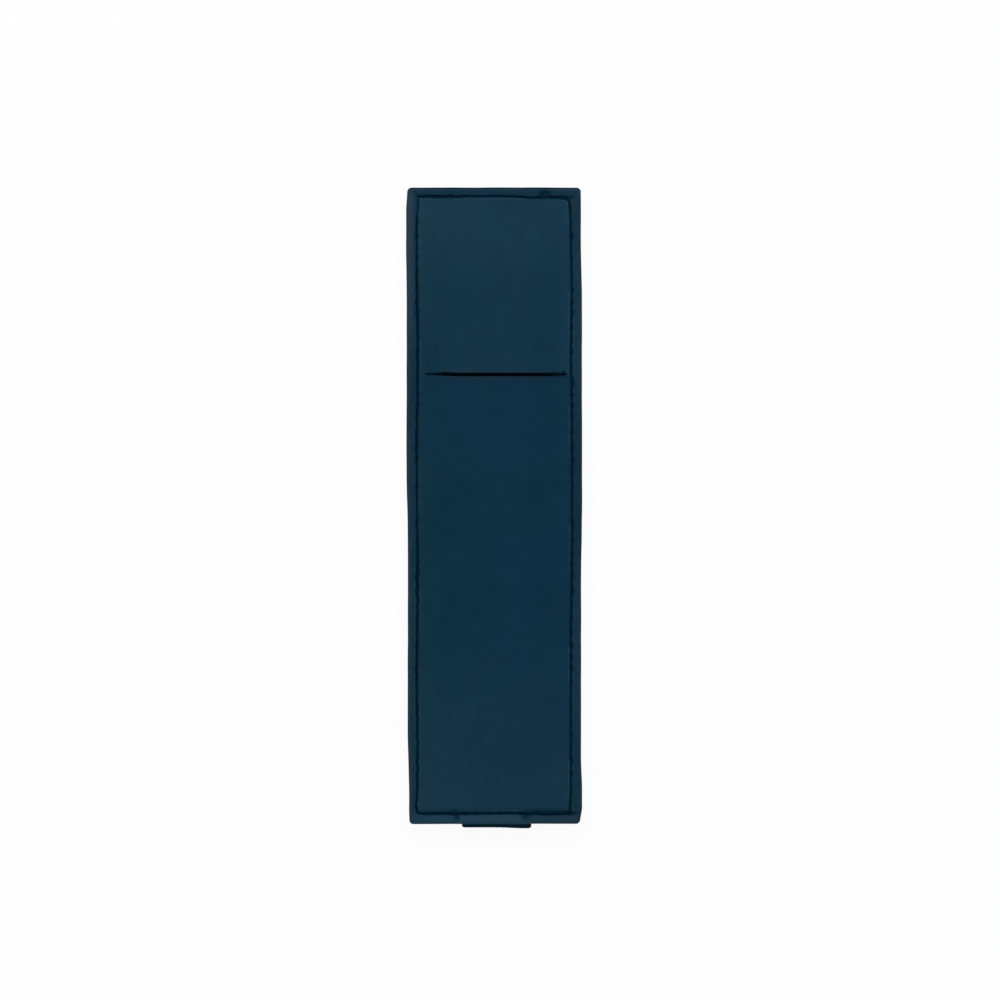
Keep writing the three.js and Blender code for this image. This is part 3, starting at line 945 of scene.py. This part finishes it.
def frontQuarter(name, side, toTop):
    # one closed shell: columns run from the seam at one side to the middle, and each column goes
    # along the outside from the end seam to the lip and back along the inside
    own, slit = frontSheet, mouthSlit
    across = seamX - graded(seamX, own["step"], own["fine"], False)[:, None]
    x = side * across
    r = seamRadius(side, toTop)
    end = midY + toTop * (seamY - rounded(seamX - across, r))
    cut, opening, crease = slitShape(x)
    tick = slit["tick"] * bump(x, *slit["tickAt"]) * cut * (toTop > 0)
    slitMid = slitY - slit["drop"] + slit["leftRise"] * smooth(x, *slit["leftCreased"])
    lip = slitMid + toTop * opening + tick
    length = abs(midY + toTop * seamY - slitY)
    rows = graded(length, own["rowStep"], own["fine"], True) / length
    x = x + 0 * rows
    y = end + (lip - end) * rows
    inFromSeam = np.maximum(seamDistance(x, y, r), 0)
    inFromLip = np.abs(y - lip)
    raised = crown(x, y)
    lipDrop = rounded(inFromLip, own["lipRound"] * cut + slit["creaseRound"] * crease + 1e-9)
    sinks = np.interp(x, own["sunkAt"], own["sunk"]) + own["sunkCrease"] * bump(x, *own["sunkCreaseAt"])
    sunk = sinks * (toTop < 0) * (1 - smooth(seamY - np.abs(y - midY), *own["sunkReach"]))
    outside = frontTop + raised + handWave(x, y) * smooth(inFromSeam, 0, own["settle"])
    outside = outside - lipDrop - rounded(inFromSeam, own["seamRound"]) - own["sunkDeep"] * sunk
    pulled = needlePull(x, y) * smooth(inFromSeam, 0, own["pullFull"])
    outside = outside - own["pullDown"] * pulled
    outside = outside + (puckers(x, y) + crumpled(x, y)) * smooth(inFromSeam, 0, mm)
    inside = frontTop - skin + raised + pouchCut["frontPlay"]
    inside = np.minimum(inside, outside - own["leastThick"])

    # wear at the lips, and a painted sheen beside the left seam
    lipWear = own["lipWear"][0 if toTop > 0 else 1] * bump(inFromLip, *own["lipWearAt"])
    wearAndSheen = lipWear * (opening / slit["half"]) + own["leftSheen"] * bump(x, -seamX, own["leftSheenReach"])
    moss = own["mossLeft"] * bump(x, -seamX, own["mossReach"])
    moss = moss * (1 - own["mossSlit"] * bump(y, slitY, own["mossSlitReach"]))
    # painted highlight along some stitches beside the seam
    crest = bump(inFromSeam, *own["crestAt"]) * stitchLit(x, y)
    crest = crest * np.where(x < 2 * mm - seamX, *own["crest"])
    # painted light: lighter towards the end seam, and over all of the upper face, more by the right seam
    even, more = own["lighterTop"] if toTop > 0 else own["lighterBottom"]
    lighter = (even + more * smooth(x, *own["lighterAcross"])) * smooth(1 - rows, 0.5, 1)
    lighterRight, lighterReach = own["lighterRight"]
    lighterUp = own["lighterAbove"] + lighterRight * bump(x, seamX, lighterReach)
    smudge = own["smudge"] * bump(x, *own["smudgeX"]) * bump(y - slitY, *own["smudgeY"])
    # painted shade of the crease at the slit's shut ends and at its tick, and under the lower lip
    creaseHalf, soft = crease + slit["tickDark"] * tick, slit["creaseSoft"]
    creased = 1 - smooth(np.abs(y - slitMid), creaseHalf - soft, creaseHalf + soft)
    shade = np.interp(x, own["shadeAt"], own["shade"]) * (toTop < 0)
    shaded = shade * bump(inFromLip, 0, np.interp(x, own["shadeAt"], own["shadeReach"]))
    # the seam's dark, and painted shade where the sheet sinks by the bottom seam
    dark = np.maximum(1 - smooth(inFromSeam, *own["seamDark"]), sunk)
    dark = np.maximum(np.maximum(dark, smudge), np.maximum(creased, shaded) * cut)
    marks = {"wearAndSheen": wearAndSheen, "moss": moss, "paintedLight": crest + (lighter + lighterUp * (toTop > 0)), "seamDirtAndShade": dark}
    marks = {key: outsideOnly(mark) for key, mark in marks.items()}
    count = len(rows)
    paint = np.concatenate([np.zeros(count - 1), [1], np.full(count, 2)]).astype(np.int32)
    points = cutByHand(*shell(x, y, outside, inside))
    return buildPiece(name, points, [leather, cutEdge, innerSide], marks, paint)


backSheet = {
    "step": 0.9 * mm,
    "rowStep": 0.7 * mm,
    "fine": 0.04 * mm,
    "leastThick": 0.2 * mm,
    "seamRound": 0.6 * mm,
    "seamDark": (0.02 * mm, 0.42 * mm),
    "pullDown": 0.12 * mm,
    "wave": 0.4,  # share of the front's unevenness
    # painted highlight beside the seam
    "crest": 0.4,
    "crestAt": (0.7 * mm, 0.3 * mm),
}


def backFace():
    # flat sheet inside the back seam, its edge rounded down into the groove
    own = backSheet
    x = graded(2 * seamX, own["step"], own["fine"], True) - seamX
    rows = graded(2 * seamY, own["rowStep"], own["fine"], True) / seamY - 1
    sideShare = (x / seamX)[:, None]
    end = seamY - rounded(seamX - np.abs(x)[:, None], seamRadius(sideShare, np.sign(rows)))
    y = midY + end * rows
    x = x[:, None] + 0 * rows
    inFromSeam = np.maximum(seamDistance(x, y, seamRadius(sideShare, rows)), 0)
    pull = needlePull(x, y) * smooth(inFromSeam, 0, frontSheet["pullFull"])
    wave = own["wave"] * handWave(x, y) * smooth(inFromSeam, 0, frontSheet["settle"])
    wave = wave + crumpled(x, y) * smooth(inFromSeam, 0, mm)
    drop = rounded(inFromSeam, own["seamRound"]) + own["pullDown"] * pull
    outside = backLow[2] + drop + wave
    inside = np.maximum(outside + own["leastThick"], backLow[2] + skin - pouchCut["backPlay"])
    # painted highlight beside the seam, stored with the wear
    crest = own["crest"] * bump(inFromSeam, *own["crestAt"]) * (1 - np.minimum(pull, 1))
    dark = 1 - smooth(inFromSeam, *own["seamDark"])
    marks = {"wearAndSheen": outsideOnly(crest), "seamDirtAndShade": outsideOnly(dark)}
    points = cutByHand(*shell(x, y, outside, inside))
    return buildPiece("back_sheet", points, [leather], marks)


stitchRow = {
    "radius": 0.24 * mm,
    "taper": 0.3,  # how much thinner it is at its ends
    "below": 0.02 * mm,  # how far the top of a stitch lies under the leather
    "uneven": (-0.03, 0.06),  # and how far below or above that it may be, in mm
    "dive": 0.62 * mm,
    "slant": 0.09 * mm,
    "slantRange": (0.6, 1.4),
    "steps": 8,
    "sides": 6,
}


def seamHoles():
    # start and end of every stitch, one lap: holes lie where the uneven count is whole,
    # and each corner hole sits on the rounded corner
    def along(half, count):
        fine = np.linspace(-half, half, 4001)
        return np.interp(np.arange(count + 1), sewnPhase(fine, half, count), fine)

    up, wide = along(seamY, seamSewing["longCount"]), along(seamX, seamSewing["shortCount"])
    right = np.stack([np.full_like(up, seamX), up], 1)
    top = np.stack([wide[::-1], np.full_like(wide, seamY)], 1)
    sides = [right, top, right[::-1] * (-1, 1), top[::-1] * (1, -1)]
    for row in sides:
        corner = np.sign(row[[0, -1]])
        row[[0, -1]] -= corner * seamRadius(corner[:, :1], corner[:, 1:]) * (1 - math.sqrt(0.5))
    starts = np.concatenate([row[:-1] for row in sides])
    ends = np.concatenate([row[1:] for row in sides])
    return starts + [0, midY], ends + [0, midY]


def stitches(name, level, outward):
    # each stitch is a short tube, level between its holes and diving into them at both ends
    own = stitchRow
    starts, ends = seamHoles()
    count = len(starts)
    t = np.linspace(0, 1, own["steps"])
    length = np.linalg.norm(ends - starts, axis=1)
    ahead = (ends - starts) / length[:, None]
    aside = np.stack([-ahead[:, 1], ahead[:, 0]], 1)
    slant = own["slant"] * luck.uniform(*own["slantRange"], count)
    plan = starts[:, None] + (ends - starts)[:, None] * t[:, None]
    plan = plan + aside[:, None] * (slant[:, None] * (2 * t - 1))[..., None]
    taper = own["taper"]
    radius = own["radius"] * (1 - taper + taper * np.sin(pi * t) ** 0.5)
    depth = own["below"] + own["radius"] + own["dive"] * np.abs(2 * t - 1) ** 5
    depth = depth + luck.uniform(*own["uneven"], count)[:, None] * mm
    turn = np.arange(own["sides"]) / own["sides"] * tau
    sideways = radius[:, None] * np.cos(turn)
    upward = radius[:, None] * np.sin(turn)
    xy = plan[:, :, None] + aside[:, None, None] * sideways[..., None]
    z = level - outward * depth[:, :, None] + upward
    marks = {"along": (t * length[:, None])[:, :, None], "across": sideways[None]}
    return buildPiece(name, cutByHand(xy[..., 0], xy[..., 1], z), [sewingThread], marks)


liningSheet = {
    "step": 1.4 * mm,
    "rowStep": 1.6 * mm,
    "fine": 0.1 * mm,
    "below": 0.03 * mm,
    "ripple": 0.02 * mm,
    "edgeDrop": 0.1 * mm,
    "edgeReach": 0.3 * mm,
}


def pocketLining():
    # cloth glued flat on the board, hardly uneven
    own = liningSheet
    low, high = liningLow, liningHigh
    x = graded(high[0] - low[0], own["step"], own["fine"], True) + low[0]
    y = graded(high[1] - low[1], own["rowStep"], own["fine"], True) + low[1]
    x, y = np.meshgrid(x, y, indexing="ij")
    edge = np.minimum(np.minimum(x - low[0], high[0] - x), np.minimum(y - low[1], high[1] - y))
    ripple = np.sin(x / (5 * mm)) * np.sin(y / (8 * mm)) + 0.6 * np.sin(y / (3.4 * mm) + x / (6 * mm))
    top = high[2] - own["below"] + own["ripple"] * ripple
    top = top - own["edgeDrop"] * bump(edge, 0, own["edgeReach"])
    x, y, z = shell(x, y, top, np.full_like(top, low[2]))
    return buildPiece("pocket_lining", np.stack([x, y, z], -1), [cloth], {"along": y, "across": x})


elasticBand = {
    "thick": 0.94 * mm,
    "seamPlay": 0.03 * mm,
    "foldDepth": 1.7 * mm,
    "foldSquare": 0.8,
    "foldSteps": 30,
    "tongue": 3.6 * mm,
    "tongueSteps": 9,
    "runSteps": 95,
    "ribHeight": 0.04 * mm,
    "ribSteps": 6,
    "selvedge": 0.5 * mm,
    "selvedgeThin": 0.4,
    "proud": 0.1 * mm,  # how far the slack fold at the bottom stands out
    "skew": 0.27 * mm,  # and how much further at its right
    "skewFull": 0.8,  # share of its half width
    "lean": 0.67 * mm,  # how far it lies to the right
    "leanFrom": 0.3,  # share of its length
    "tipRound": 0.35 * mm,
    "tipWear": 0.3 * mm,
    "slantFrom": 95 * mm,
    "slantTo": 68 * mm,
}


def elasticHalf(name, outward):
    # a ribbed tape: its side line runs out of the seam, round the fold and under the pouch to the
    # middle, and half its thickness is laid off square to that line on both sides
    own = elasticBand
    endLow, endHigh = topEnd if outward > 0 else bottomEnd
    thick, foldDepth, tongue = own["thick"], own["foldDepth"], own["tongue"]
    reach = max(abs(endLow[1]), abs(endHigh[1])) - thick / 2
    reach += own["proud"] if outward < 0 else 0
    upperZ, lowerZ = endHigh[2] - own["seamPlay"] - thick / 2, endLow[2] + thick / 2
    centre = reach - foldDepth
    turn = np.linspace(pi / 2, -pi / 2, own["foldSteps"])
    outFold, rise = squaredRound(turn, own["foldSquare"])
    foldZ = (upperZ + lowerZ) / 2 + (upperZ - lowerZ) / 2 * rise
    tongueY = centre - tongue + np.linspace(0, tongue, own["tongueSteps"], endpoint=False)
    runY = np.linspace(centre, 0, own["runSteps"] + 1)[1:]
    lineY = np.concatenate([tongueY, centre + foldDepth * outFold, runY])
    lineZ = np.concatenate([np.full(len(tongueY), upperZ), foldZ, np.full(len(runY), lowerZ)])
    stepY, stepZ = np.gradient(lineY), np.gradient(lineZ)
    size = np.hypot(stepY, stepZ)
    normalY, normalZ = -stepZ / size, stepY / size
    along = np.concatenate([[0], np.cumsum(np.hypot(np.diff(lineY), np.diff(lineZ)))])

    halfTape = endHigh[0]
    pitch = elasticLook["pitch"][1] / 2
    ribs = int(round(2 * halfTape / pitch))
    x = np.linspace(-halfTape, halfTape, ribs * own["ribSteps"] + 1)[:, None]
    fromEdge = halfTape - np.abs(x)
    half = thick / 2 * (1 - own["selvedgeThin"] * bump(fromEdge, 0, own["selvedge"]))
    half = half + own["ribHeight"] * (np.cos(tau * x / pitch) - 1) / 2
    slack = 1 if outward < 0 else 0
    skew = slack * own["skew"] * smooth(x, 0, own["skewFull"] * halfTape)
    lean = slack * own["lean"] * smooth(lineY, own["leanFrom"] * reach, reach)
    atFold = smooth(lineY, centre, reach)
    y = lineY + (skew - rounded(fromEdge, own["tipRound"])) * atFold
    z = outAndBack(lineZ + half * normalZ, lineZ - half * normalZ)
    y = outward * outAndBack(y + half * normalY, y - half * normalY)
    across = x + 0 * y
    x = across + np.concatenate([lean, lean[::-1]])
    tip = bump(lineY, reach, own["tipWear"])
    marks = {
        "along": np.concatenate([along, along[::-1]]),
        "across": across,
        "wearAndSheen": np.concatenate([tip, 0 * tip]),
    }
    return buildPiece(name, cutByHand(x, y, z), [webbing], marks)


def fit(piece, node):
    # the piece moves with the pouch and stands for one of its solids
    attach(piece, "pouch")
    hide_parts(node)
    return piece


print("building the pouch")
fit(frontRoll(), "front_border")
for level, toTop in (("lower", -1), ("upper", 1)):
    for sideName, side in (("left", -1), ("right", 1)):
        quarter = frontQuarter(f"front_{level}_{sideName}", side, toTop)
        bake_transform(quarter)
        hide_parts(f"{level}_face")
fit(backRoll(), "back_panel")
fit(backFace(), "back_panel")
fit(stitches("needle_stitches", frontTop, 1), "needle_thread")
fit(stitches("bobbin_stitches", backLow[2], -1), "bobbin_thread")
lining = fit(pocketLining(), "back_lining")
for name, node, outward in (("elastic_top", "band_top_end", 1), ("elastic_bottom", "band_bottom_end", -1)):
    tape = elasticHalf(name, outward)
    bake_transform(tape)
    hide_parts(node, "band_run")

# floor, light and camera

studio = {
    "floorHalf": 3.0,
    "floorLevel": -0.05 * mm,
    "floorTone": (0.86, 0.86, 0.86, 1),
    "floorWhite": 0.93,  # share of plain white in what is seen of the floor
    "white": (1, 1, 1, 1),
    "skyLight": 0.55,
    "keyWatts": 9.0,
    "keySize": (1.0, 0.6),
    "keyPlace": (-0.1, 0.75, 0.95),
}


def whiteToCamera(owner, lit, white, share, output):
    # lit by one shader, but white by this share where it is seen, also in a reflection or glass
    owner.use_nodes = True
    tree = owner.node_tree
    tree.nodes.clear()
    path = tree.nodes.new("ShaderNodeLightPath")
    rays = [Sock(path.outputs[key]) for key in ("Is Camera Ray", "Is Glossy Ray", "Is Transmission Ray")]
    total = rays[0] + rays[1] + rays[2]
    seen = total.math("MINIMUM", total, 1.0)
    plain = seen.node(white, {}, {"Color": studio["white"], "Strength": 1.0})
    both = seen.node("ShaderNodeMixShader", {}, {0: seen * share, 1: seen.node(*lit), 2: plain})
    seen.node(output, {}, {"Surface": both}, None)


def layFloor():
    half, level = studio["floorHalf"], studio["floorLevel"]
    square = [(-half, -half, level), (half, -half, level), (half, half, level), (-half, half, level)]
    mesh = bpy.data.meshes.new("floor")
    mesh.from_pydata(square, [], [(0, 1, 2, 3)])
    finish = bpy.data.materials.new("pale_floor")
    lit = ("ShaderNodeBsdfDiffuse", {}, {"Color": studio["floorTone"]})
    whiteToCamera(finish, lit, "ShaderNodeEmission", studio["floorWhite"], "ShaderNodeOutputMaterial")
    mesh.materials.append(finish)
    addObject("floor", mesh)


def setLight():
    world = bpy.data.worlds.new("soft_studio")
    bpy.context.scene.world = world
    sky = ("ShaderNodeBackground", {}, {"Color": studio["white"], "Strength": studio["skyLight"]})
    whiteToCamera(world, sky, "ShaderNodeBackground", 1.0, "ShaderNodeOutputWorld")
    lamp = bpy.data.lights.new("key", "AREA")
    lamp.shape = "RECTANGLE"
    lamp.size, lamp.size_y = studio["keySize"]
    lamp.energy = studio["keyWatts"]
    key = addObject("key", lamp)
    key.location = studio["keyPlace"]
    key.rotation_euler = (-key.location).to_track_quat("-Z", "Y").to_euler()


photoView = {
    "frameWide": 314.4 * mm,  # width of the picture at the pouch's outline
    "right": 1.73 * mm,  # the picture's middle, from the middle of the pouch
    "up": 1.78 * mm,
    "lens": 180.0,
    "sensor": 36.0,
}


def setCamera():
    lens = bpy.data.cameras.new("photo_camera")
    lens.lens = photoView["lens"]
    lens.sensor_width = photoView["sensor"]
    camera = addObject("photo_camera", lens)
    away = photoView["frameWide"] * photoView["lens"] / photoView["sensor"]
    outlineZ = (borderLow[2] + borderHigh[2]) / 2
    camera.location = (photoView["right"], midY + photoView["up"], outlineZ + away)
    bpy.context.scene.camera = camera


layFloor()
setLight()
setCamera()
bpy.context.scene.view_settings.view_transform = "Standard"
print("stage set")
